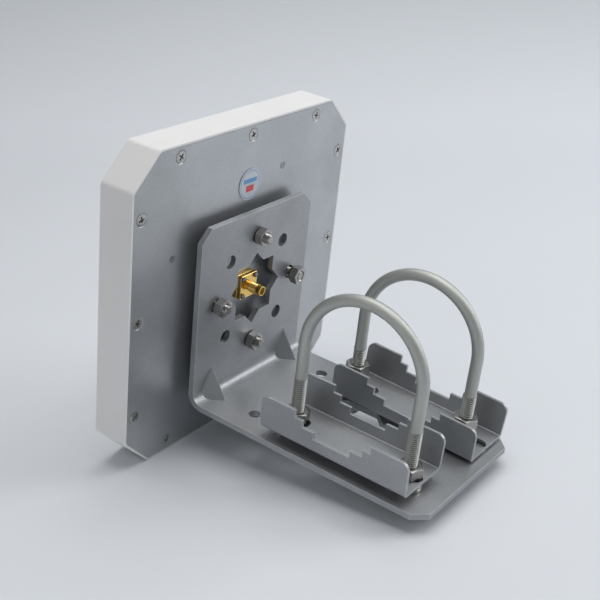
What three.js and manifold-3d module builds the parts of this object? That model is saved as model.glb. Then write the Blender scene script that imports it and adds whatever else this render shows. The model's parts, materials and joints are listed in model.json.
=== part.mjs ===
// Square flat-panel antenna with a coaxial connector, an angle bracket and two U-bolt pole clamps.
// Millimetres. The assembly is drawn upright, with X across the panel, Y out of its back along the
// bracket arm and Z up the panel. The finished group then leans so that it stands on z = 0 on the
// panel's lower back edge and on the outer leg of the rear U-bolt.

import * as THREE from 'three';
import { mergeVertices } from 'three/addons/utils/BufferGeometryUtils.js';
import { ConvexGeometry } from 'three/addons/geometries/ConvexGeometry.js';
import Module from 'manifold-3d';

const wasm = await Module();
wasm.setup();

// ---- driving dimensions ----

const PANEL_SIZE = 190;
const PANEL_DEPTH = 23;
const CORNER_CUT = 19.4;
const WALL = 2.7;
const FIT_GAP = 0.2;              // between pieces that rest on each other
const THREAD_GAP = 0.07;          // nut bore radius over rod radius
const ROUND_SIDES = 24;

const PLATE_THICKNESS = 1.5;
const PLATE_HALF = 93.6;
const GASKET_THICKNESS = 0.9;
const GASKET_WIDTH = 9.6;
const SCREW_LINE = 88;            // centre line of the cover screws, from the panel's centre
const SCREW_PITCH = 60;
const SCREW_HEAD_RADIUS = 3.9;
const SCREW_RADIUS = 1.5;
const SCREW_LENGTH = 12;
const BOSS_RADIUS = 4;

const BOARD_HALF = 80;
const BOARD_THICKNESS = 1.5;
const BOARD_STANDOFF = 6.5;       // from the plate's inner face to the board
const PATCH_SIZE = 22;
const PATCH_PITCH = 40;
const PATCH_THICKNESS = 0.4;
const TRACE_WIDTH = 2.4;
const SPACER_POINT = { x: 63, z: 30.5 };
const SPACER_RADIUS = 4;
const RIVET_RADIUS = 2.3;

const LABEL_RADIUS = 9.5;
const LABEL_Z = 58.4;
const LABEL_THICKNESS = 0.2;

const CENTRE_Z = -4.2;            // connector, star opening and stud circle share this height
const CONNECTOR_FLANGE = 15;
const CONNECTOR_FLANGE_THICKNESS = 5.4;
const CONNECTOR_LENGTH = 16;      // mating face above the plate
const CONNECTOR_THREAD_RADIUS = 3.175;
const CONNECTOR_SCREW_OFFSET = 5.5;
const INSULATOR_RADIUS = 2.05;
const CONTACT_RADIUS = 0.65;

const BRACKET_HALF = 50;
const BRACKET_THICKNESS = 3.5;
const BRACKET_BACK = 6.4;         // back of the upright leg above the plate
const BRACKET_TOP = 45.5;
const BRACKET_BOTTOM = -66;
const BRACKET_REACH = 167;
const BRACKET_CORNER = 7.8;
const BEND_RADIUS = 6;
const STAR_RADIUS = 23.3;
const STUD_CIRCLE = 34.1;
const STUD_HOLE_RADIUS = 4.3;
const WINDOW = { halfWidth: 19, from: 64, to: 104, corner: 9.5 };
const SPARE_HOLE = { x: 33, y: 43, radius: 3.8 };
const GUSSET = { x: 34.5, halfWidth: 10, height: 18, run: 12 };

const STUD_THREAD = { radius: 3, flats: 10, height: 5 };
const STUD_END = 8.9;             // stud tip above the bracket's outer face
const LOCK_WASHER = { radius: 4.9, thickness: 0.6 };
const STUDS = [
  { name: 'top', angle: 90, washerLift: 0 },
  { name: 'left', angle: 0, washerLift: 1 },
  { name: 'bottom', angle: 270, washerLift: 0 },
  { name: 'right', angle: 180, washerLift: 3 },
];

const LEG_NEAR = 70;              // U-bolt legs, from the plate's face along the arm
const LEG_FAR = 145;
const LEG_LENGTH = 67.2;          // from the centre of the bow to the leg's end
const LEG_THREAD = { radius: 3.85, flats: 13, height: 6.5, length: 46 };
const ROD_RADIUS = 3.5;
const LEG_HOLE_RADIUS = 4.5;
const JAM_NUT_GAP = 0.4;
const STACK_RADIUS = 8;           // washers between the arm and a saddle
// A saddle's place is the middle of its base, which tilts about X with its inner end up.
const CLAMPS = [
  { name: 'front', x: 30, bowZ: -5.2, saddle: { x: 30, y: 106, z: -56.6, tilt: 0 }, jamNuts: false },
  { name: 'rear', x: -30, bowZ: -9.5, saddle: { x: -30.4, y: 112.5, z: -59.2, tilt: 2.2 }, jamNuts: true },
];

const SADDLE_LENGTH = 96;
const SADDLE_WIDTH = 36.5;
const SADDLE_SPLAY = 1.1;         // how far each wall leans out at its top
const SADDLE_HEIGHT = 21.4;
const SADDLE_THICKNESS = 1.6;
const SADDLE_END_RADIUS = 5;
const NOTCH_HALF_WIDTHS = [11.8, 19.5, 24.5];
const NOTCH_FLOOR = 8.4;
const NOTCH_STEP = 4.2;
const SLOT = { offset: 37, length: 20.5, width: 9.2 };

const LEAN_DEGREES = 7;

const FLANGE_TOP = BRACKET_BOTTOM + BRACKET_THICKNESS;
const BRACKET_FACE = BRACKET_BACK + BRACKET_THICKNESS;
const HALF = PANEL_SIZE / 2;

// ---- finishes ----

const finish = (color, roughness, metalness) =>
  new THREE.MeshStandardMaterial({ color, roughness, metalness });

const whitePlastic = finish(0xe9ebec, 0.45, 0);
const blackRubber = finish(0x26282a, 0.85, 0);
const brushedAluminium = finish(0x9da1a6, 0.42, 0.85);
const laminate = finish(0xd9d3bd, 0.6, 0);
const copper = finish(0xb87445, 0.35, 1);
const brightSteel = finish(0xa9aaa8, 0.3, 1);
const paper = finish(0xf2f3f5, 0.6, 0);
const goldPlate = finish(0xc99b3c, 0.28, 1);
const ptfe = finish(0xf1efe8, 0.5, 0);
const greyCoat = finish(0x8b8f94, 0.5, 0.5);
const darkSteel = finish(0x2b2b2b, 0.5, 0.8);
const galvanised = finish(0x7e817a, 0.5, 0.8);

// ---- solids: joining, cutting and placing ----

function toSolid(geometry) {
  const bare = geometry.index ? geometry.toNonIndexed() : geometry.clone();
  bare.deleteAttribute('normal');
  bare.deleteAttribute('uv');
  const welded = mergeVertices(bare, 1e-4);
  return new wasm.Manifold(new wasm.Mesh({
    numProp: 3,
    vertProperties: new Float32Array(welded.attributes.position.array),
    triVerts: new Uint32Array(welded.index.array),
  }));
}

function toGeometry(solid) {
  const mesh = solid.getMesh();
  const geometry = new THREE.BufferGeometry();
  geometry.setAttribute('position', new THREE.BufferAttribute(mesh.vertProperties, 3));
  geometry.setIndex(new THREE.BufferAttribute(mesh.triVerts, 1));
  geometry.computeVertexNormals();
  return geometry;
}

function join(...geometries) {
  return toGeometry(geometries.map(toSolid).reduce((whole, solid) => whole.add(solid)));
}

function cut(geometry, tools) {
  return toGeometry(tools.map(toSolid).reduce((rest, tool) => rest.subtract(tool), toSolid(geometry)));
}

// A rod along Y from y0 to y1.
function rodY(radius, x, z, y0, y1, sides = ROUND_SIDES) {
  return new THREE.CylinderGeometry(radius, radius, y1 - y0, sides).translate(x, (y0 + y1) / 2, z);
}

// A rod along Z from z0 to z1.
function rodZ(radius, x, y, z0, z1, sides = ROUND_SIDES) {
  return new THREE.CylinderGeometry(radius, radius, z1 - z0, sides)
    .rotateX(Math.PI / 2)
    .translate(x, y, (z0 + z1) / 2);
}

// A shape drawn in X and Z, made solid from y0 to y1.
function slabY(shape, y0, y1, curveSegments = 4) {
  return new THREE.ExtrudeGeometry(shape, { depth: y1 - y0, bevelEnabled: false, curveSegments })
    .rotateX(Math.PI / 2)
    .translate(0, y1, 0);
}

// A shape drawn in X and Y, made solid from z0 to z1.
function slabZ(shape, z0, z1, curveSegments = 4) {
  return new THREE.ExtrudeGeometry(shape, { depth: z1 - z0, bevelEnabled: false, curveSegments })
    .translate(0, 0, z0);
}

// A shape drawn in Y and Z, made solid from x0 to x1.
function slabX(shape, x0, x1, curveSegments = 4) {
  return new THREE.ExtrudeGeometry(shape, { depth: x1 - x0, bevelEnabled: false, curveSegments })
    .applyMatrix4(new THREE.Matrix4().makeBasis(
      new THREE.Vector3(0, 1, 0), new THREE.Vector3(0, 0, 1), new THREE.Vector3(1, 0, 0)))
    .translate(x0, 0, 0);
}

// A polygon whose corners are rounded, each by its own radius.
function roundedPolygon(corners, radii) {
  const shape = new THREE.Shape();
  corners.forEach((corner, i) => {
    const before = corners.at(i - 1);
    const after = corners[(i + 1) % corners.length];
    const radius = Array.isArray(radii) ? radii[i] : radii;
    const toBefore = before.clone().sub(corner).normalize();
    const toAfter = after.clone().sub(corner).normalize();
    const halfAngle = Math.acos(THREE.MathUtils.clamp(toBefore.dot(toAfter), -1, 1)) / 2;
    const reach = radius / Math.tan(halfAngle);
    const start = corner.clone().addScaledVector(toBefore, reach);
    const end = corner.clone().addScaledVector(toAfter, reach);
    if (i === 0) shape.moveTo(start.x, start.y);
    else shape.lineTo(start.x, start.y);
    if (radius > 0) {
      const centre = toBefore.clone().add(toAfter).normalize()
        .multiplyScalar(radius / Math.sin(halfAngle)).add(corner);
      const from = Math.atan2(start.y - centre.y, start.x - centre.x);
      const to = Math.atan2(end.y - centre.y, end.x - centre.x);
      const turnsLeft = toBefore.x * toAfter.y - toBefore.y * toAfter.x < 0;
      shape.absarc(centre.x, centre.y, radius, from, to, !turnsLeft);
    }
  });
  shape.closePath();
  return shape;
}

const points = (pairs) => pairs.map(([x, y]) => new THREE.Vector2(x, y));

// A square about the origin whose four corners are cut off at 45 degrees.
function cutSquare(half, cornerCut, radius) {
  const inner = half - cornerCut;
  return roundedPolygon(points([
    [half, -inner], [half, inner], [inner, half], [-inner, half],
    [-half, inner], [-half, -inner], [-inner, -half], [inner, -half],
  ]), radius);
}

// Corner cut that keeps an inner outline parallel to the outer one.
const parallelCut = (half) => CORNER_CUT - (HALF - half) * (2 - Math.SQRT2);

function hexagon(flats, turn = 0) {
  const radius = flats / Math.sqrt(3);
  return new THREE.Shape(Array.from({ length: 6 }, (_, i) => {
    const angle = turn + (i * Math.PI) / 3;
    return new THREE.Vector2(radius * Math.cos(angle), radius * Math.sin(angle));
  }));
}

// Outline of two equal squares, one turned 45 degrees on the other.
function star(radius) {
  const inner = radius * Math.SQRT1_2 / Math.cos(Math.PI / 8);
  return new THREE.Shape(Array.from({ length: 16 }, (_, i) => {
    const reach = i % 2 === 0 ? radius : inner;
    const angle = (i * Math.PI) / 8;
    return new THREE.Vector2(reach * Math.cos(angle), reach * Math.sin(angle));
  }));
}

function slotShape(x, y, width, length) {
  const round = width / 2;
  const straight = length / 2 - round;
  const shape = new THREE.Shape();
  shape.moveTo(x + round, y - straight);
  shape.lineTo(x + round, y + straight);
  shape.absarc(x, y + straight, round, 0, Math.PI, false);
  shape.lineTo(x - round, y - straight);
  shape.absarc(x, y - straight, round, Math.PI, 2 * Math.PI, false);
  return shape;
}

// ---- where things repeat ----

const screwPoints = [-SCREW_PITCH, 0, SCREW_PITCH].flatMap((along) => [
  { x: along, z: SCREW_LINE },
  { x: SCREW_LINE, z: along },
  { x: along, z: -SCREW_LINE },
  { x: -SCREW_LINE, z: along },
]);

const spacerPoints = [0, 1, 2, 3].map((quarter) => {
  const angle = (quarter * Math.PI) / 2;
  return {
    x: SPACER_POINT.x * Math.cos(angle) - SPACER_POINT.z * Math.sin(angle),
    z: SPACER_POINT.x * Math.sin(angle) + SPACER_POINT.z * Math.cos(angle),
  };
});

const studPoints = STUDS.map((stud) => {
  const angle = THREE.MathUtils.degToRad(stud.angle);
  return { ...stud, x: STUD_CIRCLE * Math.cos(angle), z: CENTRE_Z + STUD_CIRCLE * Math.sin(angle) };
});

const connectorScrewPoints = [[1, 1], [-1, 1], [-1, -1], [1, -1]].map(([sx, sz]) => ({
  x: sx * CONNECTOR_SCREW_OFFSET,
  z: CENTRE_Z + sz * CONNECTOR_SCREW_OFFSET,
}));

// ---- panel ----

function radome() {
  const seat = -PLATE_THICKNESS - GASKET_THICKNESS - 2 * FIT_GAP;
  const floor = WALL - PANEL_DEPTH;
  const lipHalf = PLATE_HALF + FIT_GAP;
  const cavityHalf = HALF - WALL;
  const body = slabY(cutSquare(HALF, CORNER_CUT, 4), -PANEL_DEPTH, 0);
  const cavity = slabY(cutSquare(cavityHalf, parallelCut(cavityHalf), 2), floor, 1);
  const recess = slabY(cutSquare(lipHalf, parallelCut(lipHalf), 3), seat, 1);
  const shell = cut(body, [cavity, recess]);
  const bosses = screwPoints.map(({ x, z }) => rodY(BOSS_RADIUS, x, z, floor - 0.5, seat, 12));
  const pilots = screwPoints.map(({ x, z }) =>
    rodY(SCREW_RADIUS + 0.1, x, z, -SCREW_LENGTH - 1, 1, 12));
  return cut(join(shell, ...bosses), pilots);
}

function sealGasket() {
  const outer = slabY(cutSquare(PLATE_HALF, parallelCut(PLATE_HALF), 3),
    -PLATE_THICKNESS - FIT_GAP - GASKET_THICKNESS, -PLATE_THICKNESS - FIT_GAP);
  const innerHalf = PLATE_HALF - GASKET_WIDTH;
  const opening = slabY(cutSquare(innerHalf, parallelCut(innerHalf), 2), -PANEL_DEPTH, 1);
  const holes = screwPoints.map(({ x, z }) => rodY(SCREW_RADIUS + 0.3, x, z, -PANEL_DEPTH, 1, 12));
  return cut(outer, [opening, ...holes]);
}

function backPlate() {
  const sheet = slabY(cutSquare(PLATE_HALF, parallelCut(PLATE_HALF), 3), -PLATE_THICKNESS, 0);
  const sinks = screwPoints.map(({ x, z }) => new THREE.CylinderGeometry(
    SCREW_HEAD_RADIUS + 0.25, SCREW_RADIUS + 0.25, PLATE_THICKNESS + 0.02, 16)
    .translate(x, -PLATE_THICKNESS / 2, z));
  const rivetHoles = spacerPoints.map(({ x, z }) => rodY(RIVET_RADIUS + 0.1, x, z, -3, 1, 20));
  const studHoles = studPoints.map(({ x, z }) => rodY(STUD_THREAD.radius + 0.2, x, z, -3, 1, 24));
  const feedHole = rodY(INSULATOR_RADIUS + 0.2, 0, CENTRE_Z, -3, 1, 24);
  const connectorHoles = connectorScrewPoints.map(({ x, z }) => rodY(1.2, x, z, -3, 1, 12));
  return cut(sheet, [...sinks, ...rivetHoles, ...studHoles, feedHole, ...connectorHoles]);
}

// Countersunk screw, head up, standing on the Y axis.
function coverScrew() {
  const headDepth = PLATE_THICKNESS - 0.1;
  return new THREE.LatheGeometry(points([
    [0, -SCREW_LENGTH], [SCREW_RADIUS - 0.6, -SCREW_LENGTH], [SCREW_RADIUS, -SCREW_LENGTH + 1.5],
    [SCREW_RADIUS, -headDepth], [SCREW_HEAD_RADIUS, -0.05], [SCREW_HEAD_RADIUS - 0.2, 0.1], [0, 0.25],
  ]), 16);
}

function labelSticker() {
  return rodY(LABEL_RADIUS, 0, LABEL_Z, FIT_GAP, FIT_GAP + LABEL_THICKNESS, 40);
}

// ---- inside the panel ----

const boardBack = -PLATE_THICKNESS - BOARD_STANDOFF;
const boardFront = boardBack - BOARD_THICKNESS;

function arrayBoard() {
  const sheet = slabY(cutSquare(BOARD_HALF, 8, 1), boardFront, boardBack);
  const rivets = spacerPoints.map(({ x, z }) => rodY(1.6, x, z, boardFront - 1, boardBack + 1, 16));
  return cut(sheet, [...rivets, rodY(CONTACT_RADIUS + 0.15, 0, CENTRE_Z, boardFront - 1, 0, 16)]);
}

// Sixteen square patches on rows of track that meet a trunk through the feed point.
function patchArray() {
  const y1 = boardFront - FIT_GAP;
  const y0 = y1 - PATCH_THICKNESS;
  const block = (width, height, x, z) =>
    new THREE.BoxGeometry(width, PATCH_THICKNESS, height).translate(x, (y0 + y1) / 2, z);
  const steps = [-1.5, -0.5, 0.5, 1.5].map((step) => step * PATCH_PITCH);
  const patches = steps.flatMap((x) => steps.map((z) => block(PATCH_SIZE, PATCH_SIZE, x, z)));
  const rows = steps.map((z) => block(3 * PATCH_PITCH, TRACE_WIDTH, 0, z));
  const trunk = block(TRACE_WIDTH * 1.5, 3 * PATCH_PITCH, 0, 0);
  const feed = rodY(CONTACT_RADIUS + 0.15, 0, CENTRE_Z, y0 - 1, y1 + 1, 16);
  return cut(join(...patches, ...rows, trunk), [feed]);
}

// Pillar between the board and the plate, with a rivet shank that shows flush on the plate.
function boardSpacer() {
  const low = boardBack + FIT_GAP;
  const high = -PLATE_THICKNESS - FIT_GAP;
  return new THREE.LatheGeometry(points([
    [0, boardFront + 0.2], [1.45, boardFront + 0.2], [1.45, low], [SPACER_RADIUS, low],
    [SPACER_RADIUS, high], [RIVET_RADIUS, high], [RIVET_RADIUS, 0], [RIVET_RADIUS - 0.3, 0.15], [0, 0.15],
  ]), 16);
}

// ---- coaxial connector ----

function connectorBody() {
  const half = CONNECTOR_FLANGE / 2;
  const flangeTop = FIT_GAP + CONNECTOR_FLANGE_THICKNESS;
  const square = points([[half, -half], [half, half], [-half, half], [-half, -half]]);
  const flange = slabY(roundedPolygon(square, 0.8), FIT_GAP, flangeTop);
  const thread = CONNECTOR_THREAD_RADIUS;
  const barrel = new THREE.LatheGeometry(points([
    [0, 1], [thread - 0.5, 1], [thread - 0.5, flangeTop + 1.8], [thread, flangeTop + 2.2],
    [thread, CONNECTOR_LENGTH - 2.6], [thread - 0.45, CONNECTOR_LENGTH - 2.4],
    [thread - 0.45, CONNECTOR_LENGTH - 1.9], [thread, CONNECTOR_LENGTH - 1.7],
    [thread, CONNECTOR_LENGTH - 0.3], [thread - 0.3, CONNECTOR_LENGTH], [0, CONNECTOR_LENGTH],
  ]), ROUND_SIDES);
  const solid = join(flange, barrel);
  const bore = rodY(INSULATOR_RADIUS + 0.1, 0, 0, -1, CONNECTOR_LENGTH + 1);
  const socket = rodY(2.35, 0, 0, CONNECTOR_LENGTH - 2.5, CONNECTOR_LENGTH + 1);
  const screwHoles = connectorScrewPoints.map(({ x, z }) =>
    rodY(1.2, x, z - CENTRE_Z, -1, flangeTop + 1, 12));
  return cut(solid, [bore, socket, ...screwHoles]);
}

function connectorInsulator() {
  return cut(rodY(INSULATOR_RADIUS, 0, 0, boardBack + FIT_GAP, CONNECTOR_LENGTH - 2.5),
    [rodY(CONTACT_RADIUS + 0.1, 0, 0, -PANEL_DEPTH, CONNECTOR_LENGTH, 16)]);
}

// Contact pin, split at its tip to take a mating pin, soldered to the array at its other end.
function connectorContact() {
  const tip = CONNECTOR_LENGTH - 1.2;
  return new THREE.LatheGeometry(points([
    [0, boardFront - 0.9], [CONTACT_RADIUS, boardFront - 0.9], [CONTACT_RADIUS, tip - 0.2],
    [CONTACT_RADIUS - 0.15, tip], [0.35, tip], [0.35, tip - 3], [0, tip - 3],
  ]), 16);
}

function connectorScrew() {
  const seat = 2 * FIT_GAP + CONNECTOR_FLANGE_THICKNESS;
  return new THREE.LatheGeometry(points([
    [0, -3], [1, -3], [1, seat], [1.6, seat], [1.6, seat + 0.8], [1.2, seat + 1.25], [0, seat + 1.35],
  ]), 16);
}

// ---- angle bracket ----

// Side view of the bent plate, drawn in Y and Z.
function bracketProfile() {
  const outer = BEND_RADIUS + BRACKET_THICKNESS;
  return roundedPolygon(points([
    [BRACKET_BACK, BRACKET_TOP], [BRACKET_BACK, BRACKET_BOTTOM], [BRACKET_REACH, BRACKET_BOTTOM],
    [BRACKET_REACH, FLANGE_TOP], [BRACKET_FACE, FLANGE_TOP], [BRACKET_FACE, BRACKET_TOP],
  ]), [0, outer, 0, 0, BEND_RADIUS, 0]);
}

// Ridged fold pressed into the bend, a ridge between two feet. It is moved outwards to join the
// inside of the bend, and the other way to dent its outside.
function gussetWedge(x, shift) {
  const { halfWidth, height, run } = GUSSET;
  const face = BRACKET_FACE + shift;
  const top = FLANGE_TOP + shift;
  const buried = 2;
  return new ConvexGeometry([
    [x, face, top + height], [x, face + run, top],
    [x - halfWidth, face, top], [x + halfWidth, face, top],
    [x, face - buried, top + height], [x, face + run, top - buried],
    [x - halfWidth, face - buried, top - buried], [x + halfWidth, face - buried, top - buried],
  ].map((p) => new THREE.Vector3(...p)));
}

function angleBracket() {
  const plate = slabX(bracketProfile(), -BRACKET_HALF, BRACKET_HALF, 6);
  const gussetXs = [-GUSSET.x, GUSSET.x];
  const stiffened = join(plate, ...gussetXs.map((x) => gussetWedge(x, 0)));
  const dents = gussetXs.map((x) => gussetWedge(x, -BRACKET_THICKNESS - 0.6));

  const reach = BRACKET_CORNER * Math.SQRT2;
  const topCorners = [-1, 1].map((side) => new THREE.BoxGeometry(reach, 12, reach)
    .rotateY(Math.PI / 4).translate(side * BRACKET_HALF, BRACKET_BACK, BRACKET_TOP));
  const endCorners = [-1, 1].map((side) => new THREE.BoxGeometry(reach, reach, 12)
    .rotateZ(Math.PI / 4).translate(side * BRACKET_HALF, BRACKET_REACH, BRACKET_BOTTOM));

  const starCut = slabY(star(STAR_RADIUS), 0, 20).translate(0, 0, CENTRE_Z);
  const circleHoles = Array.from({ length: 8 }, (_, i) => {
    const angle = (i * Math.PI) / 4;
    const x = STUD_CIRCLE * Math.cos(angle);
    const z = CENTRE_Z + STUD_CIRCLE * Math.sin(angle);
    return rodY(STUD_HOLE_RADIUS, x, z, 0, 20, 24);
  });

  const { halfWidth, from, to, corner } = WINDOW;
  const narrow = halfWidth - corner;
  const window = slabZ(roundedPolygon(points([
    [halfWidth, from + corner], [halfWidth, to - corner], [narrow, to], [-narrow, to],
    [-halfWidth, to - corner], [-halfWidth, from + corner], [-narrow, from], [narrow, from],
  ]), 1), BRACKET_BOTTOM - 2, FLANGE_TOP + 2);
  const legHoles = CLAMPS.flatMap(({ x }) => [LEG_NEAR, LEG_FAR].map((y) =>
    rodZ(LEG_HOLE_RADIUS, x, y, BRACKET_BOTTOM - 2, FLANGE_TOP + 2, 24)));
  const spareHoles = [-1, 1].map((side) =>
    rodZ(SPARE_HOLE.radius, side * SPARE_HOLE.x, SPARE_HOLE.y, BRACKET_BOTTOM - 2, FLANGE_TOP + 2, 24));

  return cut(stiffened,
    [...dents, ...topCorners, ...endCorners, starCut, ...circleHoles, window, ...legHoles, ...spareHoles]);
}

// ---- studs, nuts and washers ----

// Stud fixed in the plate, with a hexagon shoulder that holds the bracket off it.
function mountingStud() {
  const { radius, flats } = STUD_THREAD;
  const headTop = -PLATE_THICKNESS - FIT_GAP;
  const tip = BRACKET_FACE + STUD_END;
  const shank = new THREE.LatheGeometry(points([
    [0, -2.6], [4.5, -2.6], [4.5, headTop], [radius, headTop],
    [radius, tip - 0.8], [radius - 0.8, tip], [0, tip],
  ]), ROUND_SIDES);
  return join(shank, slabY(hexagon(flats), FIT_GAP, BRACKET_BACK - FIT_GAP));
}

// Nut centred on the origin with its axis along Y.
function studNut(turn) {
  const { radius, flats, height } = STUD_THREAD;
  return cut(slabY(hexagon(flats, turn), -height / 2, height / 2),
    [rodY(radius + THREAD_GAP, 0, 0, -height, height)]);
}

// Nut centred on the origin with its axis along Z.
function legNut(turn) {
  const { radius, flats, height } = LEG_THREAD;
  return cut(slabZ(hexagon(flats, turn), -height / 2, height / 2),
    [rodZ(radius + THREAD_GAP, 0, 0, -height, height)]);
}

function lockWasher() {
  const half = LOCK_WASHER.thickness / 2;
  return cut(rodY(LOCK_WASHER.radius, 0, 0, -half, half), [rodY(STUD_THREAD.radius + 0.15, 0, 0, -2, 2)]);
}

// ---- pole clamps ----

// Path of a U-bolt: up the near leg, round the bow and down the far leg.
class BowPath extends THREE.Curve {
  getPoint(t) {
    const radius = (LEG_FAR - LEG_NEAR) / 2;
    const middle = (LEG_FAR + LEG_NEAR) / 2;
    const bowLength = Math.PI * radius;
    const along = t * (2 * LEG_LENGTH + bowLength);
    if (along < LEG_LENGTH) return new THREE.Vector3(0, LEG_NEAR, along - LEG_LENGTH);
    if (along > LEG_LENGTH + bowLength) {
      return new THREE.Vector3(0, LEG_FAR, LEG_LENGTH + bowLength - along);
    }
    const angle = (along - LEG_LENGTH) / radius;
    return new THREE.Vector3(0, middle - radius * Math.cos(angle), radius * Math.sin(angle));
  }
}

// The thread's crest stands a little proud of the rod it is rolled on.
function uBolt() {
  const section = new THREE.Shape().absarc(0, 0, ROD_RADIUS, 0, 2 * Math.PI, false);
  const rod = new THREE.ExtrudeGeometry(section, {
    extrudePath: new BowPath(), steps: 44, curveSegments: 8, bevelEnabled: false,
  });
  const threads = [LEG_NEAR, LEG_FAR].map((y) =>
    rodZ(LEG_THREAD.radius, 0, y, -LEG_LENGTH, LEG_THREAD.length - LEG_LENGTH));
  return join(rod, ...threads);
}

// Channel with stepped notches in both walls, drawn with its base on z = 0 and centred on y = 0.
function saddle() {
  const half = SADDLE_WIDTH / 2;
  const inner = half - SADDLE_THICKNESS;
  const end = SADDLE_LENGTH / 2;
  const bend = 2.2;
  const lean = SADDLE_SPLAY;
  const channel = slabY(roundedPolygon(points([
    [-half, 0], [half, 0], [half + lean, SADDLE_HEIGHT], [inner + lean, SADDLE_HEIGHT],
    [inner, SADDLE_THICKNESS], [-inner, SADDLE_THICKNESS],
    [-inner - lean, SADDLE_HEIGHT], [-half - lean, SADDLE_HEIGHT],
  ]), [bend, bend, 0, 0, bend - SADDLE_THICKNESS, bend - SADDLE_THICKNESS, 0, 0]), -end, end);

  const [low, middle, high] = NOTCH_HALF_WIDTHS;
  const levels = [0, 1, 2, 4].map((step) => NOTCH_FLOOR + step * NOTCH_STEP);
  const rightSide = [[low, levels[0]], [low, levels[1]], [middle, levels[1]], [middle, levels[2]],
    [high, levels[2]], [high, levels[3]]];
  const leftSide = rightSide.map(([y, z]) => [-y, z]).reverse();
  const notch = slabX(new THREE.Shape(points([...rightSide, ...leftSide])), -half - 3, half + 3);

  const sideView = roundedPolygon(
    points([[-end, -1], [end, -1], [end, SADDLE_HEIGHT], [-end, SADDLE_HEIGHT]]),
    [0, 0, SADDLE_END_RADIUS, SADDLE_END_RADIUS]);
  const around = roundedPolygon(points([
    [-end - 5, -5], [end + 5, -5], [end + 5, SADDLE_HEIGHT + 5], [-end - 5, SADDLE_HEIGHT + 5],
  ]), 0);
  around.holes.push(sideView);
  const trim = slabX(around, -half - 3, half + 3, 6);
  const slots = [-1, 1].map((side) =>
    slabZ(slotShape(0, side * SLOT.offset, SLOT.width, SLOT.length), -1, SADDLE_THICKNESS + 1, 10));
  return cut(channel, [notch, trim, ...slots]);
}

// Stack of plain washers between the arm and a saddle's base.
function spacer(height) {
  return cut(rodZ(STACK_RADIUS, 0, 0, -height / 2, height / 2, 24),
    [rodZ(LEG_THREAD.radius + 0.35, 0, 0, -height, height, 24)]);
}

// ---- assembly ----

const assembly = new THREE.Group();

function add(name, geometry, material, x = 0, y = 0, z = 0) {
  const mesh = new THREE.Mesh(geometry, material);
  mesh.name = name;
  mesh.position.set(x, y, z);
  assembly.add(mesh);
  return mesh;
}

add('radome_cover', radome(), whitePlastic);
add('seal_gasket', sealGasket(), blackRubber);
add('back_plate', backPlate(), brushedAluminium);
screwPoints.forEach(({ x, z }, i) =>
  add(`cover_screw_${String(i + 1).padStart(2, '0')}`, coverScrew(), brightSteel, x, 0, z));
add('round_label', labelSticker(), paper);

add('array_board', arrayBoard(), laminate);
add('patch_array', patchArray(), copper);
spacerPoints.forEach(({ x, z }, i) => add(`board_spacer_${i + 1}`, boardSpacer(), brushedAluminium, x, 0, z));

add('connector_body', connectorBody(), goldPlate, 0, 0, CENTRE_Z);
add('connector_insulator', connectorInsulator(), ptfe, 0, 0, CENTRE_Z);
add('connector_contact', connectorContact(), goldPlate, 0, 0, CENTRE_Z);
connectorScrewPoints.forEach(({ x, z }, i) =>
  add(`connector_screw_${i + 1}`, connectorScrew(), brightSteel, x, 0, z));

add('angle_bracket', angleBracket(), greyCoat);

studPoints.forEach(({ name, x, z, washerLift }, i) => {
  const washerY = BRACKET_FACE + FIT_GAP + washerLift + LOCK_WASHER.thickness / 2;
  const nutY0 = washerY + LOCK_WASHER.thickness / 2 + FIT_GAP / 2 + STUD_THREAD.height / 2;
  add(`stud_${name}`, mountingStud(), brightSteel, x, 0, z);
  add(`lock_washer_${name}`, lockWasher(), darkSteel, x, washerY, z);
  add(`stud_nut_${name}`, studNut(Math.PI / 6 + i * 0.2), brightSteel, x, nutY0, z);
});

CLAMPS.forEach(({ name, x, bowZ, saddle: seat, jamNuts }) => {
  const slope = Math.tan(THREE.MathUtils.degToRad(seat.tilt));
  const nutHalf = LEG_THREAD.height / 2;
  const tiltRoom = FIT_GAP + STACK_RADIUS * slope;   // level nuts and washers on a tilted base
  add(`u_bolt_${name}`, uBolt(), galvanised, x, 0, bowZ);
  add(`saddle_${name}`, saddle(), greyCoat, seat.x, seat.y, seat.z)
    .rotation.x = -THREE.MathUtils.degToRad(seat.tilt);
  [['near', LEG_NEAR], ['far', LEG_FAR]].forEach(([leg, y], i) => {
    const base = seat.z + (seat.y - y) * slope;
    const stack = base - tiltRoom - FLANGE_TOP - FIT_GAP;
    const upperZ = base + SADDLE_THICKNESS + tiltRoom + nutHalf;
    const lowerZ = BRACKET_BOTTOM - FIT_GAP - nutHalf;
    add(`upper_nut_${name}_${leg}`, legNut(0.3 + i * 0.4), brightSteel, x, y, upperZ);
    add(`lower_nut_${name}_${leg}`, legNut(0.1 + i * 0.5), brightSteel, x, y, lowerZ);
    add(`spacer_${name}_${leg}`, spacer(stack), brightSteel, x, y, FLANGE_TOP + FIT_GAP + stack / 2);
    if (jamNuts) {
      add(`jam_nut_${name}_${leg}`, legNut(0.8 - i * 0.3), brightSteel,
        x, y, upperZ + LEG_THREAD.height + JAM_NUT_GAP);
    }
  });
});

assembly.rotation.x = -THREE.MathUtils.degToRad(LEAN_DEGREES);

// Stand the leaning assembly on z = 0, centred on X and Y.
const group = new THREE.Group();
group.add(assembly);
const box = new THREE.Box3().setFromObject(group, true);
const middle = box.getCenter(new THREE.Vector3());
assembly.position.set(-middle.x, -middle.y, -box.min.z);

export default group;
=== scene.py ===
"""Studio picture of a flat-panel antenna with an angle bracket and two U-bolt pole clamps.

Pieces are drawn upright in millimetres, as the assembly was designed: X across the panel, Y out of
its back and Z up. place() then scales them and leans them into the row frame.
"""

import json
import math

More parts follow.
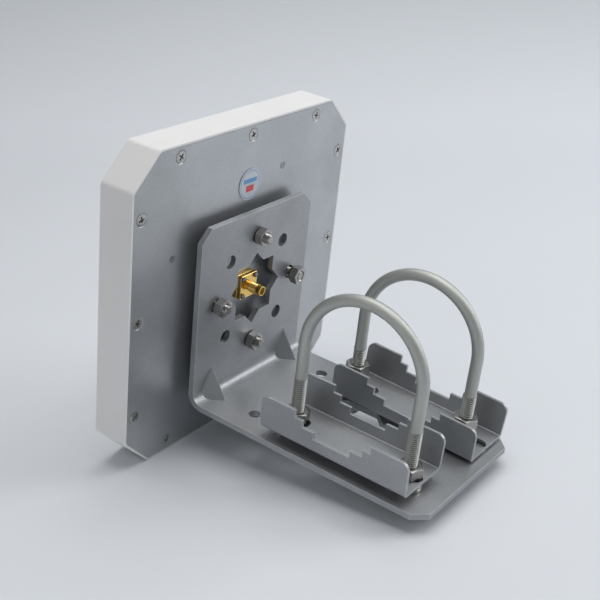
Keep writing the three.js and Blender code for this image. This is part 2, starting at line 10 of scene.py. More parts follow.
import bmesh
import bpy
from mathutils import Matrix, Vector

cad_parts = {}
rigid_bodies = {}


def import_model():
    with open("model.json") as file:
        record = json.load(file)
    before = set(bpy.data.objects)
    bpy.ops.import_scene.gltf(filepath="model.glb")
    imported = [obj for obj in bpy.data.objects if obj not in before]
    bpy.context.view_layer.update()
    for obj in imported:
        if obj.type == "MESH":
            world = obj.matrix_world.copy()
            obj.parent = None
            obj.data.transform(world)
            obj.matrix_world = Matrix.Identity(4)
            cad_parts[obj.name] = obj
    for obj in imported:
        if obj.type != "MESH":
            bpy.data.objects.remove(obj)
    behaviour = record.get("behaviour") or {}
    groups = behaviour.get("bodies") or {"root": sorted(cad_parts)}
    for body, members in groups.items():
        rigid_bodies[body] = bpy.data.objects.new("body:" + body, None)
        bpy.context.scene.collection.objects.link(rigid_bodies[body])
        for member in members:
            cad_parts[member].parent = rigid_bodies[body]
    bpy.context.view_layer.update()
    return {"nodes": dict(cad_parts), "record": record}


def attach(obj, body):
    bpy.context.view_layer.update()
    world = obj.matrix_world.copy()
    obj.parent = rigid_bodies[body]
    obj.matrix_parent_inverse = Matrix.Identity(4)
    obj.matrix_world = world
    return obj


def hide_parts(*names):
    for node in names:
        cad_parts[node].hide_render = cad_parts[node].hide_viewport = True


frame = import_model()
nodes = frame["nodes"]

# ---- dimensions shared with the solids, in millimetres ----

LEAN = math.radians(7)
PANEL_HALF = 95
PANEL_DEPTH = 23
BRACKET_REACH = 167
FLANGE_TOP = -62.5
BRACKET_BACK = 6.4
STUD_TIP = 18.8
STUD_RADIUS = 3.0
STUD_PITCH = 1.0
STUD_NUT_FLATS = 10
STUDS = ("top", "left", "bottom", "right")
ROD = 3.5
LEG_CREST = 3.85
LEG_PITCH = 1.25
LEG_NUT_FLATS = 13
LEG_SPAN = 75
LEG_LENGTH = 67.2
LEG_THREAD = 46
CLAMPS = ("front", "rear")
CONNECTOR_RADIUS = 3.175
CONNECTOR_PITCH = 0.706
CONNECTOR_TIP = 16
CONNECTOR_SIDES = 40
FLANGE_HALF = 7.5
FLANGE_THICKNESS = 5.4
WASHER_THICKNESS = 1.6
LABEL_RADIUS_M = 0.0095
COVER_SCREW_COUNT = 12
CONNECTOR_SCREW_COUNT = 4
BOARD_SPACER_COUNT = 4
GAP = 0.2

# ---- finish, for every piece ----

SHARP_DEGREES = 32
BEVEL_DEGREES = 35

# ---- camera, in the upright assembly ----

CAMERA_AT = Vector((473.85, 362.12, 284.38))
CAMERA_AIM = Vector((28.1, 62.2, 17.2))
CAMERA_LENS = 66.5

# The row frame's origin is under the middle of the leaning assembly.
c, s = math.cos(LEAN), math.sin(LEAN)
reach_y = BRACKET_REACH * c + FLANGE_TOP * s
front_y = -PANEL_DEPTH * c - PANEL_HALF * s
OFFSET = Vector((0, -(reach_y + front_y) / 2, PANEL_HALF * c))
TO_ROW = Matrix.Scale(0.001, 4) @ Matrix.Translation(OFFSET) @ Matrix.Rotation(-LEAN, 4, "X")
TO_UPRIGHT = TO_ROW.inverted()


def upright_box(name):
    """A node's lowest and highest corners in the upright assembly."""
    spots = [TO_UPRIGHT @ vertex.co for vertex in nodes[name].data.vertices]
    low = Vector(min(spot[axis] for spot in spots) for axis in range(3))
    high = Vector(max(spot[axis] for spot in spots) for axis in range(3))
    return low, high


def middle_of(name):
    low, high = upright_box(name)
    return (low + high) / 2


# ---- materials ----

def nodes_of(name):
    material = bpy.data.materials.new(name)
    material.use_nodes = True
    tree = material.node_tree
    return material, tree, tree.nodes["Principled BSDF"]


def coordinates(tree):
    """Object coordinates in metres."""
    return tree.nodes.new("ShaderNodeTexCoord").outputs["Object"]


def noise(tree, vector, scale, detail=3.0, roughness=0.55):
    node = tree.nodes.new("ShaderNodeTexNoise")
    node.inputs["Scale"].default_value = scale
    node.inputs["Detail"].default_value = detail
    node.inputs["Roughness"].default_value = roughness
    tree.links.new(vector, node.inputs["Vector"])
    return node.outputs["Fac"]


def remap(tree, value, low, high, source_low=0.3, source_high=0.7):
    node = tree.nodes.new("ShaderNodeMapRange")
    node.inputs["From Min"].default_value = source_low
    node.inputs["From Max"].default_value = source_high
    node.inputs["To Min"].default_value = low
    node.inputs["To Max"].default_value = high
    tree.links.new(value, node.inputs["Value"])
    return node.outputs["Result"]


def ramp(tree, value, stops):
    node = tree.nodes.new("ShaderNodeValToRGB")
    elements = node.color_ramp.elements
    while len(elements) < len(stops):
        elements.new(0.5)
    for element, (position, colour) in zip(elements, stops):
        element.position = position
        element.color = (*colour, 1)
    tree.links.new(value, node.inputs["Fac"])
    return node.outputs["Color"]


def bump(tree, shader, height, strength, distance):
    node = tree.nodes.new("ShaderNodeBump")
    node.inputs["Strength"].default_value = strength
    node.inputs["Distance"].default_value = distance
    tree.links.new(height, node.inputs["Height"])
    tree.links.new(node.outputs["Normal"], shader.inputs["Normal"])


def moulded_plastic(name, light, dark):
    """Slightly glossy plastic with a fine spark-eroded grain and faint patches of gloss."""
    material, tree, shader = nodes_of(name)
    vector = coordinates(tree)
    tone = noise(tree, vector, 9, 4)
    tree.links.new(ramp(tree, tone, [(0.35, dark), (0.65, light)]), shader.inputs["Base Color"])
    tree.links.new(remap(tree, noise(tree, vector, 30, 5), 0.34, 0.5), shader.inputs["Roughness"])
    shader.inputs["Subsurface Weight"].default_value = 0.04
    shader.inputs["Subsurface Scale"].default_value = 0.002
    bump(tree, shader, noise(tree, vector, 2600, 2), 0.10, 0.0002)
    return material


def painted_edge_highlight(tree, colour, highlight_colour):
    """Paints a highlight along sharp edges: mixes the colour towards a brighter one there, unevenly."""
    round_normal = tree.nodes.new("ShaderNodeBevel")
    round_normal.samples = 6
    round_normal.inputs["Radius"].default_value = 0.0007
    flat_normal = tree.nodes.new("ShaderNodeNewGeometry")
    dot = tree.nodes.new("ShaderNodeVectorMath")
    dot.operation = "DOT_PRODUCT"
    tree.links.new(round_normal.outputs["Normal"], dot.inputs[0])
    tree.links.new(flat_normal.outputs["Normal"], dot.inputs[1])
    edge = remap(tree, dot.outputs["Value"], 0.9, 0.0, 0.85, 0.995)
    highlight_patches = remap(tree, noise(tree, coordinates(tree), 160, 4), 0.35, 1.0)
    amount = tree.nodes.new("ShaderNodeMath")
    amount.operation = "MULTIPLY"
    tree.links.new(edge, amount.inputs[0])
    tree.links.new(highlight_patches, amount.inputs[1])
    node = tree.nodes.new("ShaderNodeMix")
    node.data_type = "RGBA"
    tree.links.new(amount.outputs[0], node.inputs[0])
    tree.links.new(colour, node.inputs[6])
    node.inputs[7].default_value = (*highlight_colour, 1)
    return node.outputs[2]


def sparkling_coat(name, light, dark, metallic, rough, highlight_tint=None):
    """Silver coat: cloudy tone under metal flakes that each have their own gloss."""
    grain, flake = 1500, 0.5
    material, tree, shader = nodes_of(name)
    vector = coordinates(tree)
    cloud = noise(tree, vector, 22, 5)
    speck = noise(tree, vector, grain, 2, 0.7)
    mix = tree.nodes.new("ShaderNodeMath")
    mix.operation = "MULTIPLY_ADD"
    mix.inputs[1].default_value = flake
    tree.links.new(speck, mix.inputs[0])
    tree.links.new(remap(tree, cloud, 0.5 - flake / 2 - 0.12, 0.5 - flake / 2 + 0.12), mix.inputs[2])
    colour = ramp(tree, mix.outputs[0], [(0.3, dark), (0.7, light)])
    # A highlight_tint colour paints a highlight along the sharp edges.
    if highlight_tint:
        colour = painted_edge_highlight(tree, colour, highlight_tint)
    tree.links.new(colour, shader.inputs["Base Color"])
    shader.inputs["Metallic"].default_value = metallic
    flakes = cells(tree, vector, grain * 1.4)
    tree.links.new(remap(tree, flakes, rough - 0.1, rough + 0.1, 0, 1), shader.inputs["Roughness"])
    bump(tree, shader, speck, 0.3, 0.0002)
    return material


def metal(name, light, dark, rough, strength=0.12, metallic=1.0, grooved=False):
    """Bare or plated metal with fine machining marks. A grooved one gets painted shade down in its threads.
    """
    material, tree, shader = nodes_of(name)
    vector = coordinates(tree)
    marks = noise(tree, vector, 900, 4)
    stain = noise(tree, vector, 130, 4)
    colour = ramp(tree, stain, [(0.35, dark), (0.68, light)])
    if grooved:
        # painted shade down in the thread grooves
        colour = painted_groove_shade(tree, colour)
    tree.links.new(colour, shader.inputs["Base Color"])
    shader.inputs["Metallic"].default_value = metallic
    tree.links.new(remap(tree, marks, rough - 0.08, rough + 0.1), shader.inputs["Roughness"])
    bump(tree, shader, marks, strength, 0.0002)
    return material


def cells(tree, vector, scale):
    """A random value from 0 to 1 for each small cell of space."""
    node = tree.nodes.new("ShaderNodeTexVoronoi")
    node.inputs["Scale"].default_value = scale
    tree.links.new(vector, node.inputs["Vector"])
    split = tree.nodes.new("ShaderNodeSeparateColor")
    tree.links.new(node.outputs["Color"], split.inputs["Color"])
    return split.outputs["Red"]


def painted_groove_shade(tree, colour):
    """Paints shade into grooves: multiplies a colour by how far the surface bulges, so crests keep their
    colour and grooves are dark.
    """
    bulge = tree.nodes.new("ShaderNodeNewGeometry").outputs["Pointiness"]
    tone = remap(tree, bulge, 0.05, 1.0, 0.43, 0.5)
    node = tree.nodes.new("ShaderNodeMix")
    node.data_type = "RGBA"
    node.blend_type = "MULTIPLY"
    node.inputs[0].default_value = 1
    tree.links.new(colour, node.inputs[6])
    tree.links.new(tone, node.inputs[7])
    return node.outputs[2]


def galvanised(name, light, dark):
    """Zinc-dipped rod: dull patches a few millimetres across over a slightly lumpy skin."""
    material, tree, shader = nodes_of(name)
    vector = coordinates(tree)
    patches = cells(tree, vector, 420)
    lumps = noise(tree, vector, 500, 4)
    mix = tree.nodes.new("ShaderNodeMath")
    mix.operation = "MULTIPLY_ADD"
    mix.inputs[1].default_value = 0.35
    tree.links.new(patches, mix.inputs[0])
    tree.links.new(remap(tree, lumps, 0.1, 0.6), mix.inputs[2])
    colour = ramp(tree, mix.outputs[0], [(0.2, dark), (0.8, light)])
    # painted shade down in the thread grooves of the legs
    tree.links.new(painted_groove_shade(tree, colour), shader.inputs["Base Color"])
    shader.inputs["Metallic"].default_value = 0.85
    tree.links.new(remap(tree, patches, 0.38, 0.54, 0, 1), shader.inputs["Roughness"])
    bump(tree, shader, lumps, 0.35, 0.0003)
    return material


def label_film(name, centre, radius):
    """White film, greyed partly for its fading and partly as painted shade, with a thin printed ring and two
    plain bars.
    """
    material, tree, shader = nodes_of(name)
    source = tree.nodes.new("ShaderNodeTexCoord")
    local = tree.nodes.new("ShaderNodeMapping")
    local.vector_type = "TEXTURE"
    local.inputs["Location"].default_value = centre
    local.inputs["Rotation"].default_value = (-LEAN, 0, 0)
    local.inputs["Scale"].default_value = (radius, radius, radius)
    tree.links.new(source.outputs["Object"], local.inputs["Vector"])
    split = tree.nodes.new("ShaderNodeSeparateXYZ")
    tree.links.new(local.outputs["Vector"], split.inputs["Vector"])

    def math_node(operation, a, b):
        node = tree.nodes.new("ShaderNodeMath")
        node.operation = operation
        for slot, value in enumerate((a, b)):
            if isinstance(value, (int, float)):
                node.inputs[slot].default_value = value
            else:
                tree.links.new(value, node.inputs[slot])
        return node.outputs[0]

    def bar(centre_z, half_width, half_height):
        near_x = math_node("LESS_THAN", math_node("ABSOLUTE", split.outputs["X"], 0), half_width)
        offset = math_node("SUBTRACT", split.outputs["Z"], centre_z)
        near_z = math_node("LESS_THAN", math_node("ABSOLUTE", offset, 0), half_height)
        return math_node("MULTIPLY", near_x, near_z)

    def mix(mask, below, colour):
        node = tree.nodes.new("ShaderNodeMix")
        node.data_type = "RGBA"
        tree.links.new(mask, node.inputs[0])
        tree.links.new(below, node.inputs[6])
        node.inputs[7].default_value = (*colour, 1)
        return node.outputs[2]

    x2 = math_node("MULTIPLY", split.outputs["X"], split.outputs["X"])
    z2 = math_node("MULTIPLY", split.outputs["Z"], split.outputs["Z"])
    distance = math_node("SQRT", math_node("ADD", x2, z2), 0)
    ring = math_node("LESS_THAN", math_node("ABSOLUTE", math_node("SUBTRACT", distance, 0.88), 0), 0.025)
    # The film's tone is lowered partly for fading and partly as painted shade.
    faded_and_shaded_film = ramp(tree, noise(tree, coordinates(tree), 180),
                 [(0.3, (0.5, 0.53, 0.57)), (0.7, (0.62, 0.65, 0.69))])
    colour = mix(ring, faded_and_shaded_film, (0.16, 0.34, 0.6))
    colour = mix(bar(0.24, 0.62, 0.14), colour, (0.12, 0.33, 0.62))
    colour = mix(bar(-0.26, 0.36, 0.2), colour, (0.66, 0.07, 0.08))
    tree.links.new(colour, shader.inputs["Base Color"])
    shader.inputs["Roughness"].default_value = 0.4
    bump(tree, shader, noise(tree, coordinates(tree), 500), 0.05, 0.0002)
    return material


MATERIALS = {
    "white_plastic": moulded_plastic("WhitePlastic", (0.83, 0.82, 0.81), (0.79, 0.78, 0.77)),
    "black_rubber": metal("BlackRubber", (0.03, 0.03, 0.032), (0.015, 0.015, 0.016), 0.75, metallic=0.0),
    "brushed_aluminium": sparkling_coat("PlateSilver", (0.54, 0.555, 0.57), (0.38, 0.395, 0.41), 0.8, 0.4),
    "board_laminate": moulded_plastic("BoardLaminate", (0.72, 0.68, 0.5), (0.6, 0.56, 0.4)),
    "copper_foil": metal("CopperFoil", (0.85, 0.46, 0.28), (0.62, 0.3, 0.16), 0.3),
    "bright_steel": metal("StainlessSteel", (0.5, 0.49, 0.47), (0.26, 0.25, 0.235), 0.24),
    "label_film": label_film("LabelFilm", TO_ROW @ middle_of("round_label"), LABEL_RADIUS_M),
    # The connector thread gets painted shade in its grooves.
    "gold_plate": metal("GoldPlate", (0.95, 0.66, 0.22), (0.75, 0.46, 0.12), 0.22, grooved=True),
    "ptfe": moulded_plastic("Ptfe", (0.85, 0.84, 0.8), (0.78, 0.77, 0.72)),
    # The bracket coat gets a painted highlight along its sharp edges.
    "grey_coat": sparkling_coat("BracketCoat", (0.43, 0.442, 0.455), (0.29, 0.3, 0.31), 0.65, 0.42,
                                highlight_tint=(0.8, 0.81, 0.82)),
    "dark_steel": metal("DarkSteel", (0.09, 0.09, 0.09), (0.04, 0.04, 0.04), 0.45),
    "zinc_steel": galvanised("ZincRod", (0.66, 0.675, 0.64), (0.29, 0.3, 0.275)),
}
SCREW_STEEL = metal("ScrewSteel", (0.62, 0.61, 0.59), (0.36, 0.35, 0.33), 0.2, strength=0.25)
RIVET_METAL = metal("RivetMetal", (0.4, 0.41, 0.42), (0.24, 0.25, 0.26), 0.45, strength=0.2)
# The stud threads get painted shade in their grooves.
THREADED_STEEL = metal("ThreadedSteel", (0.5, 0.49, 0.47), (0.28, 0.27, 0.25), 0.24, grooved=True)

slot_of_node = {row["node"]: row["material_slot"] for row in frame["record"]["subparts"]}


def dress(obj, slot, bevel):
    """Gives a piece the material of its record slot, and rounds its sharp edges."""
    obj.data.materials.clear()
    obj.data.materials.append(MATERIALS[slot])
    if bevel:
        modifier = obj.modifiers.new("soft_edges", "BEVEL")
        modifier.width = bevel / 1000
        modifier.segments = 2
        modifier.limit_method = "ANGLE"
        modifier.angle_limit = math.radians(BEVEL_DEGREES)
        modifier.harden_normals = True
    obj.data.shade_smooth()
    smooth = obj.modifiers.new("smooth_by_angle", "EDGE_SPLIT")
    smooth.split_angle = math.radians(SHARP_DEGREES)


# ---- pieces that keep their solids ----

EDGE_ROUNDING = {
    "radome_cover": 0.6,
    "back_plate": 0.12,
    "angle_bracket": 0.45,
    "saddle_front": 0.3,
    "saddle_rear": 0.3,
    "array_board": 0.1,
}
for name, node in nodes.items():
    dress(node, slot_of_node[name], EDGE_ROUNDING.get(name, 0.0))


# ---- detailed meshes ----

def place(name, mesh, slot, body, origin, turn=Matrix.Identity(4), replaces=()):
    """An object that shows mesh at origin in the upright assembly and rides on a body."""
    obj = bpy.data.objects.new(name, mesh)
    bpy.context.scene.collection.objects.link(obj)
    obj.matrix_world = TO_ROW @ Matrix.Translation(origin) @ turn
    if not mesh.materials:
        mesh.materials.append(MATERIALS[slot])
    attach(obj, body)
    if replaces:
        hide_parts(*replaces)
    return obj


def to_mesh(name, shape, split_degrees=SHARP_DEGREES):
    """Finishes a bmesh: smooth faces, with sharp edges marked where faces meet steeply."""
    bmesh.ops.recalc_face_normals(shape, faces=shape.faces)
    for face in shape.faces:
        face.smooth = True
    for edge in shape.edges:
        edge.smooth = edge.calc_face_angle(0.0) < math.radians(split_degrees)
    mesh = bpy.data.meshes.new(name)
    shape.to_mesh(mesh)
    shape.free()
    return mesh


def skin(shape, rings, closed_ends=True):
    """Joins rings of equal length into a tube."""
    made = [[shape.verts.new(point) for point in ring] for ring in rings]
    count = len(made[0])
    for low, high in zip(made, made[1:]):
        for i in range(count):
            j = (i + 1) % count
            shape.faces.new((low[i], low[j], high[j], high[i]))
    if closed_ends:
        shape.faces.new(made[0][::-1])
        shape.faces.new(made[-1])
    return made


def ring(radius, height, sides):
    """Points on a circle round Z."""
    return [
        Vector((radius * math.cos(a), radius * math.sin(a), height))
        for a in (2 * math.pi * i / sides for i in range(sides))
    ]


def thread_ring(height, radius, depth, pitch, sides, blend=1.0):
    """One ring of a right-hand screw thread: the groove's depth varies round the circle."""
    points = []
    for i in range(sides):
        turn = i / sides
        phase = (height / pitch - turn) % 1.0
        flank = abs(2 * phase - 1)
        groove = depth * blend * min(1.0, max(0.0, 1.25 * flank - 0.12))
        reach = radius - groove
        angle = 2 * math.pi * turn
        points.append(Vector((reach * math.cos(angle), reach * math.sin(angle), height)))
    return points


def threaded_length(low, high, radius, depth, pitch, sides=28, steps=6):
    """Rings of thread from low to high, fading in over the first turn."""
    count = max(2, round((high - low) / pitch * steps))
    rings = []
    for i in range(count + 1):
        height = low + (high - low) * i / count
        fade = min(1.0, (height - low) / pitch, (high - height) / pitch * 2)
        rings.append(thread_ring(height, radius, depth, pitch, sides, fade))
    return rings


def boolean(mesh_a, mesh_b, operation):
    """A bmesh of mesh a with b cut from it, or of what the two have in common."""
    in_scene = bpy.context.scene.collection.objects
    a = bpy.data.objects.new("a", mesh_a)
    b = bpy.data.objects.new("b", mesh_b)
    in_scene.link(a)
    in_scene.link(b)
    modifier = a.modifiers.new("cut", "BOOLEAN")
    modifier.object = b
    modifier.operation = operation
    modifier.solver = "EXACT"
    graph = bpy.context.evaluated_depsgraph_get()
    shape = bmesh.new()
    shape.from_object(a, graph)
    bpy.data.objects.remove(a)
    bpy.data.objects.remove(b)
    return shape


def cross_bar(width, reach, depth, top, turn):
    """One tapered arm of a screw head's cross recess."""
    shape = bmesh.new()
    for vertex in bmesh.ops.create_cube(shape, size=1)["verts"]:
        low = vertex.co.z < 0
        vertex.co.x *= 2 * reach * (0.45 if low else 1)
        vertex.co.y *= width * (0.7 if low else 1)
        vertex.co.z = top - depth if low else top + 0.5
    bmesh.ops.rotate(shape, verts=shape.verts, matrix=Matrix.Rotation(turn, 3, "Z"))
    return to_mesh("cross_bar", shape)


def screw(name, profile, recess):
    """A turned screw along Z with a cross recess in its head."""
    shape = bmesh.new()
    skin(shape, [ring(radius, height, 28) for radius, height in profile])
    for turn in (0, math.pi / 2):
        shape = boolean(to_mesh("blank", shape), cross_bar(*recess, turn), "DIFFERENCE")
    return to_mesh(name, shape)


def hex_nut(name, flats, height, bore):
    """A nut along Z, centred, with both faces' corners turned off and a countersunk thread."""
    half = height / 2
    corner = flats / math.sqrt(3)
    prism = bmesh.new()
    skin(prism, [ring(corner, -half, 6), ring(corner, half, 6)])
    chamfer = (corner - flats / 2) * 1.15
    drop = chamfer * math.tan(math.radians(28))
    turned = bmesh.new()
    profile = [(corner - chamfer, -half), (corner + 0.4, -half + drop * 1.3),
               (corner + 0.4, half - drop * 1.3), (corner - chamfer, half)]
    skin(turned, [ring(radius, z, 48) for radius, z in profile])
    blank = boolean(to_mesh("prism", prism), to_mesh("turned", turned), "INTERSECT")
    hole = bmesh.new()
    sink = 0.45 * bore / 3
    skin(hole, [ring(bore + sink + 0.2, -half - 0.2, 32), ring(bore, -half + sink, 32),
                ring(bore, half - sink, 32), ring(bore + sink + 0.2, half + 0.2, 32)])
    return to_mesh(name, boolean(to_mesh("blank", blank), to_mesh("hole", hole), "DIFFERENCE"))


def washer(name, bore, rim, height, split=0.0):
    """A flat washer along Z, centred, with softened rims. A split one keeps a gap of that angle."""
    half = height / 2
    soft = min(0.2, height / 4)
    section = [(bore, -half + soft), (bore, half - soft), (bore + soft, half), (rim - soft, half),
               (rim, half - soft), (rim, -half + soft), (rim - soft, -half), (bore + soft, -half)]
    steps = 48
    loops = []
    for i in range(steps + 1 if split else steps):
        angle = split / 2 + (2 * math.pi - split) * i / steps
        outward = Vector((math.cos(angle), math.sin(angle), 0))
        loops.append([outward * radius + Vector((0, 0, z)) for radius, z in section])
    shape = bmesh.new()
    made = skin(shape, loops, closed_ends=bool(split))
    if not split:
        count = len(section)
        for i in range(count):
            j = (i + 1) % count
            shape.faces.new((made[-1][i], made[-1][j], made[0][j], made[0][i]))
    return to_mesh(name, shape)


ALONG_Y = Matrix.Rotation(-math.pi / 2, 4, "X")      # turns a piece drawn along +Z to point along +Y


def turned_along_y(angle):
    return ALONG_Y @ Matrix.Rotation(-angle, 4, "Z")


def cover_screws():
    profile = [(0.9, -12), (1.5, -10.5), (1.5, -1.4), (3.6, -0.25), (3.55, -0.05), (3.0, 0.1),
               (2.0, 0.2), (0.3, 0.24)]
    mesh = screw("cover_screw_mesh", profile, (1.1, 2.4, 1.7, 0.24))
    mesh.materials.append(SCREW_STEEL)
    for i in range(COVER_SCREW_COUNT):
        name = f"cover_screw_{i + 1:02d}"
        spot = middle_of(name)
        place(f"{name}_detail", mesh, "bright_steel", "panel", (spot.x, 0, spot.z),
              turned_along_y(math.radians(37 * i + 12)), [name])


def connector_screws():
    seat = GAP + FLANGE_THICKNESS + 0.2
    profile = [(0.7, -3), (1.0, -2.6), (1.0, seat), (1.6, seat), (1.6, seat + 0.6), (1.4, seat + 1.05),
               (0.9, seat + 1.28), (0.2, seat + 1.33)]
    mesh = screw("connector_screw_mesh", profile, (0.42, 1.1, 0.8, seat + 1.33))
    for i in range(CONNECTOR_SCREW_COUNT):
        name = f"connector_screw_{i + 1}"
        spot = middle_of(name)
        place(f"{name}_detail", mesh, "bright_steel", "panel", (spot.x, 0, spot.z),
              turned_along_y(math.radians(25 + 31 * i)), [name])


def board_spacers():
    """Pillars under the plate, with a low rivet head dimpled in its middle."""
    profile = [(1.0, -9.3), (1.45, -9.1), (1.45, -7.8), (4.0, -7.8), (4.0, -1.7), (2.3, -1.7),
               (2.3, 0.0), (2.15, 0.14), (1.2, 0.15), (0.75, 0.02), (0.2, 0.0)]
    shape = bmesh.new()
    skin(shape, [ring(radius, height, 36) for radius, height in profile])
    mesh = to_mesh("board_spacer_mesh", shape)
    mesh.materials.append(RIVET_METAL)
    for i in range(BOARD_SPACER_COUNT):
        name = f"board_spacer_{i + 1}"
        spot = middle_of(name)
        place(f"{name}_detail", mesh, "brushed_aluminium", "panel", (spot.x, 0, spot.z), ALONG_Y, [name])


def studs_and_nuts():
    sides = 28
    corner = STUD_NUT_FLATS / math.sqrt(3)
    shape = bmesh.new()
    skin(shape, [ring(4.5, -2.6, sides), ring(4.5, -1.7, sides), ring(STUD_RADIUS, -1.7, sides),
                 ring(STUD_RADIUS, GAP, sides)]
         + threaded_length(GAP, STUD_TIP - 0.5, STUD_RADIUS, 0.6, STUD_PITCH, sides)
         + [ring(STUD_RADIUS - 0.5, STUD_TIP - 0.2, sides), ring(STUD_RADIUS - 0.8, STUD_TIP, sides)])
    skin(shape, [ring(corner, GAP, 6), ring(corner, BRACKET_BACK - GAP, 6)])
    stud_mesh = to_mesh("stud_mesh", shape)
    stud_mesh.materials.append(THREADED_STEEL)
    washer_mesh = washer("lock_washer_mesh", STUD_RADIUS + 0.15, 4.9, 0.6, split=0.25)
    nut_mesh = hex_nut("stud_nut_mesh", STUD_NUT_FLATS, 5, STUD_RADIUS + 0.02)
    for i, name in enumerate(STUDS):
        stud, ring_name, nut = f"stud_{name}", f"lock_washer_{name}", f"stud_nut_{name}"
        spot = middle_of(ring_name)
        place(f"{stud}_detail", stud_mesh, "bright_steel", "panel", (spot.x, 0, spot.z), ALONG_Y, [stud])
        place(f"{ring_name}_detail", washer_mesh, "dark_steel", f"washer_{name}", spot,
              turned_along_y(0.9 * i), [ring_name])
        place(f"{nut}_detail", nut_mesh, "bright_steel", f"nut_{name}", middle_of(nut),
              turned_along_y(math.pi / 6 + 0.2 * i), [nut])


def u_bolt_mesh():
    """Rod bent to a U: threaded legs, chamfered ends and a smooth bow, drawn in its own Y and Z."""
    radius = LEG_SPAN / 2
    sides = 32
    leg = [ring(LEG_CREST - 1.1, 0, sides), ring(LEG_CREST - 0.3, 0.8, sides)]
    leg += threaded_length(0.9, LEG_THREAD - 0.7, LEG_CREST, 0.8, LEG_PITCH, sides)
    leg.append(ring(ROD, LEG_THREAD, sides))
    near = [[Vector((p.x, p.y - radius, p.z - LEG_LENGTH)) for p in loop] for loop in leg]
    bow = []
    steps = 72
    for i in range(steps + 1):
        angle = math.pi * i / steps
        outward = Vector((0, -math.cos(angle), math.sin(angle)))
        bow.append([outward * (radius - p.y) + Vector((p.x, 0, 0)) for p in ring(ROD, 0, sides)])
    far = [[Vector((p.x, -p.y, p.z)) for p in loop] for loop in near[::-1]]
    shape = bmesh.new()
    skin(shape, near + bow + far)
    return to_mesh("u_bolt_mesh", shape, 50)


def pole_clamps():
    bolt_mesh = u_bolt_mesh()
    nut_mesh = hex_nut("leg_nut_mesh", LEG_NUT_FLATS, 6.5, LEG_CREST + 0.02)
    turns = {"upper_nut": (0.3, 0.7), "lower_nut": (0.1, 0.6), "jam_nut": (0.8, 0.5)}
    for name in CLAMPS:
        bolt = f"u_bolt_{name}"
        low, high = upright_box(bolt)
        centre = ((low.x + high.x) / 2, (low.y + high.y) / 2, low.z + LEG_LENGTH)
        place(f"{bolt}_detail", bolt_mesh, "zinc_steel", bolt, centre, replaces=[bolt])
        for leg_index, leg in enumerate(("near", "far")):
            for kind, turn in turns.items():
                nut = f"{kind}_{name}_{leg}"
                if nut in nodes:
                    place(f"{nut}_detail", nut_mesh, "bright_steel", nut, middle_of(nut),
                          Matrix.Rotation(turn[leg_index], 4, "Z"), [nut])
            spacer = f"spacer_{name}_{leg}"
            low, high = upright_box(spacer)
            stack_mesh = washer_stack(f"{spacer}_mesh", high.z - low.z)
            place(f"{spacer}_detail", stack_mesh, "bright_steel", "panel", middle_of(spacer),
                  replaces=[spacer])


def washer_stack(name, height):
    """Plain washers of about WASHER_THICKNESS, one on the other, along Z and centred."""
    count = max(1, round(height / WASHER_THICKNESS))
    each = height / count
    whole = bmesh.new()
    for i in range(count):
        single = washer("single", LEG_CREST + 0.35, 8 - 0.12 * (i % 2), each - 0.02)
        single.transform(Matrix.Translation((0, 0, -height / 2 + (i + 0.5) * each)))
        whole.from_mesh(single)
        bpy.data.meshes.remove(single)
    return to_mesh(name, whole)


def connector_barrel(centre):
    """Threaded barrel with a relieved neck and an open socket."""
    seat, end, sides = GAP, CONNECTOR_TIP, CONNECTOR_SIDES
    top = seat + FLANGE_THICKNESS
    rings = [ring(2.7, seat, sides), ring(2.7, top + 1.6, sides), ring(3.1, top + 1.8, sides)]
    rings += threaded_length(top + 1.9, end - 2.8, CONNECTOR_RADIUS, 0.32, CONNECTOR_PITCH, sides)
    rings += [ring(2.72, end - 2.6, sides), ring(2.72, end - 1.9, sides), ring(3.05, end - 1.7, sides),
              ring(3.1, end - 0.3, sides), ring(2.9, end, sides)]
    rings += [ring(2.35, end, sides), ring(2.35, end - 2.5, sides), ring(2.15, end - 2.5, sides),
              ring(2.15, seat, sides)]
    outer = bmesh.new()
    made = skin(outer, rings, closed_ends=False)
    for i in range(sides):
        j = (i + 1) % sides
        outer.faces.new((made[-1][i], made[-1][j], made[0][j], made[0][i]))
    barrel = to_mesh("connector_barrel", outer)
    place("connector_barrel_detail", barrel, "gold_plate", "panel", centre, ALONG_Y)


def connector_flange(centre):
    """Two square plates with a narrow parting line. The upper one stands for the whole solid."""
    half, corner, parting = FLANGE_HALF, 0.9, 0.25
    seat, sides = GAP, CONNECTOR_SIDES
    top = seat + FLANGE_THICKNESS
    middle = (seat + top) / 2
    layers = {"lower": (seat, middle - parting / 2), "upper": (middle + parting / 2, top)}
    for label, (low, high) in layers.items():
        plate = bmesh.new()
        outline = []
        for start, (sx, sy) in enumerate([(1, 1), (-1, 1), (-1, -1), (1, -1)]):
            for i in range(7):
                angle = (start + i / 6) * math.pi / 2
                outline.append((sx * (half - corner) + corner * math.cos(angle),
                                sy * (half - corner) + corner * math.sin(angle)))
        skin(plate, [[Vector((x * k, y * k, z)) for x, y in outline]
                     for k, z in ((0.975, low), (1, low + 0.2), (1, high - 0.2), (0.975, high))])
        bore = bmesh.new()
        skin(bore, [ring(2.6, low - 1, sides), ring(2.6, high + 1, sides)])
        drilled = boolean(to_mesh("plate", plate), to_mesh("bore", bore), "DIFFERENCE")
        mesh = to_mesh(f"connector_flange_{label}", drilled)
        stands_for = ["connector_body"] if label == "upper" else []
        place(f"connector_flange_{label}_detail", mesh, "gold_plate", "panel", centre, ALONG_Y, stands_for)


def connector():
    centre = middle_of("connector_body")
    centre.y = 0
    connector_barrel(centre)
    connector_flange(centre)


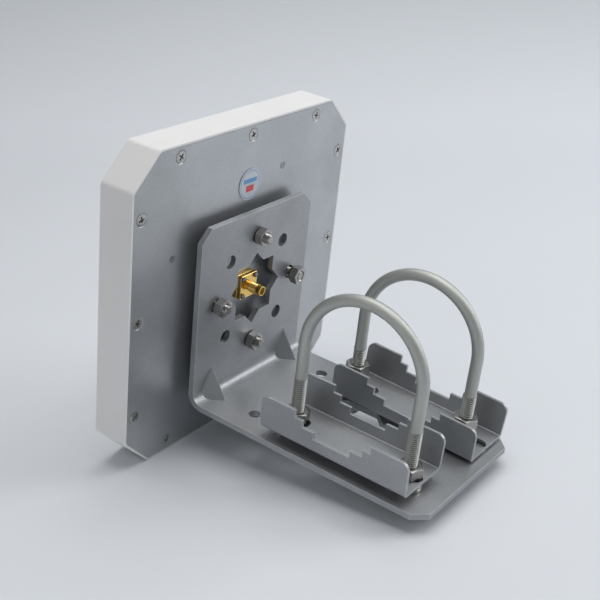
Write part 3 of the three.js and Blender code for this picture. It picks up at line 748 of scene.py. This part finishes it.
def pale_sweep():
    """Floor that curves up into a wall, pale below and greyer above, the grey being painted shade."""
    floor = bmesh.new()
    back, radius, width, front = 1.1, 0.5, 4.0, 2.2
    profile = [(-front, 0.0), (back - radius, 0.0)]
    profile += [(back - radius + radius * math.sin(a), radius - radius * math.cos(a))
                for a in (math.pi / 2 * i / 24 for i in range(1, 25))]
    profile.append((back, 2.6))
    left = [floor.verts.new((-width, along, up)) for along, up in profile]
    right = [floor.verts.new((width, along, up)) for along, up in profile]
    for i in range(len(profile) - 1):
        floor.faces.new((left[i], right[i], right[i + 1], left[i + 1]))
    mesh = to_mesh("sweep", floor, 60)
    material, tree, shader = nodes_of("PaleSweep")
    split = tree.nodes.new("ShaderNodeSeparateXYZ")
    tree.links.new(coordinates(tree), split.inputs["Vector"])
    # The colour greys with height up the wall: painted shade.
    tree.links.new(ramp(tree, split.outputs["Z"], [(0.02, (0.69, 0.715, 0.75)), (0.35, (0.27, 0.292, 0.31))]),
                   shader.inputs["Base Color"])
    shader.inputs["Roughness"].default_value = 0.6
    mesh.materials.append(material)
    sweep = bpy.data.objects.new("sweep", mesh)
    sweep.rotation_euler = (0, 0, math.radians(128))
    bpy.context.scene.collection.objects.link(sweep)


def aim_at(obj, at, target):
    """Stands a lamp or camera at a point and turns it to face another."""
    obj.location = at
    obj.rotation_mode = "QUATERNION"
    obj.rotation_quaternion = (target - at).to_track_quat("-Z", "Y")
    bpy.context.scene.collection.objects.link(obj)


def area_light(name, at, side, power, colour):
    """A square lamp, its side in metres and its power in watts, that faces the assembly."""
    light = bpy.data.lights.new(name, "AREA")
    light.shape = "RECTANGLE"
    light.size = side
    light.size_y = side
    light.energy = power
    light.color = colour
    lamp = bpy.data.objects.new(name, light)
    aim_at(lamp, Vector(at), Vector((0, 0, 0.09)))


def soft_lights():
    area_light("top", (-0.2, 0.0, 1.7), 1.6, 21, (1.0, 0.995, 0.985))
    area_light("right", (-1.1, 1.0, 0.9), 0.9, 10.5, (0.97, 0.98, 1.0))
    area_light("left", (1.3, -0.1, 0.9), 0.9, 2.6, (1.0, 0.98, 0.95))


def soft_room():
    """Even, faintly blue light from all round."""
    world = bpy.data.worlds.new("soft_room")
    world.use_nodes = True
    background = world.node_tree.nodes["Background"]
    background.inputs["Color"].default_value = (0.9, 0.94, 1.0, 1)
    background.inputs["Strength"].default_value = 0.23
    bpy.context.scene.world = world


def photo_camera():
    """The camera, set where the photograph was taken from."""
    lens = bpy.data.cameras.new("camera")
    lens.lens = CAMERA_LENS
    lens.sensor_width = 36
    lens.dof.use_dof = False
    lens.clip_start = 0.05
    lens.clip_end = 20
    camera = bpy.data.objects.new("camera", lens)
    aim_at(camera, TO_ROW @ CAMERA_AT, TO_ROW @ CAMERA_AIM)
    bpy.context.scene.camera = camera


cover_screws()
connector_screws()
board_spacers()
studs_and_nuts()
pole_clamps()
connector()
pale_sweep()
soft_lights()
soft_room()
photo_camera()
bpy.context.scene.view_settings.view_transform = "Standard"
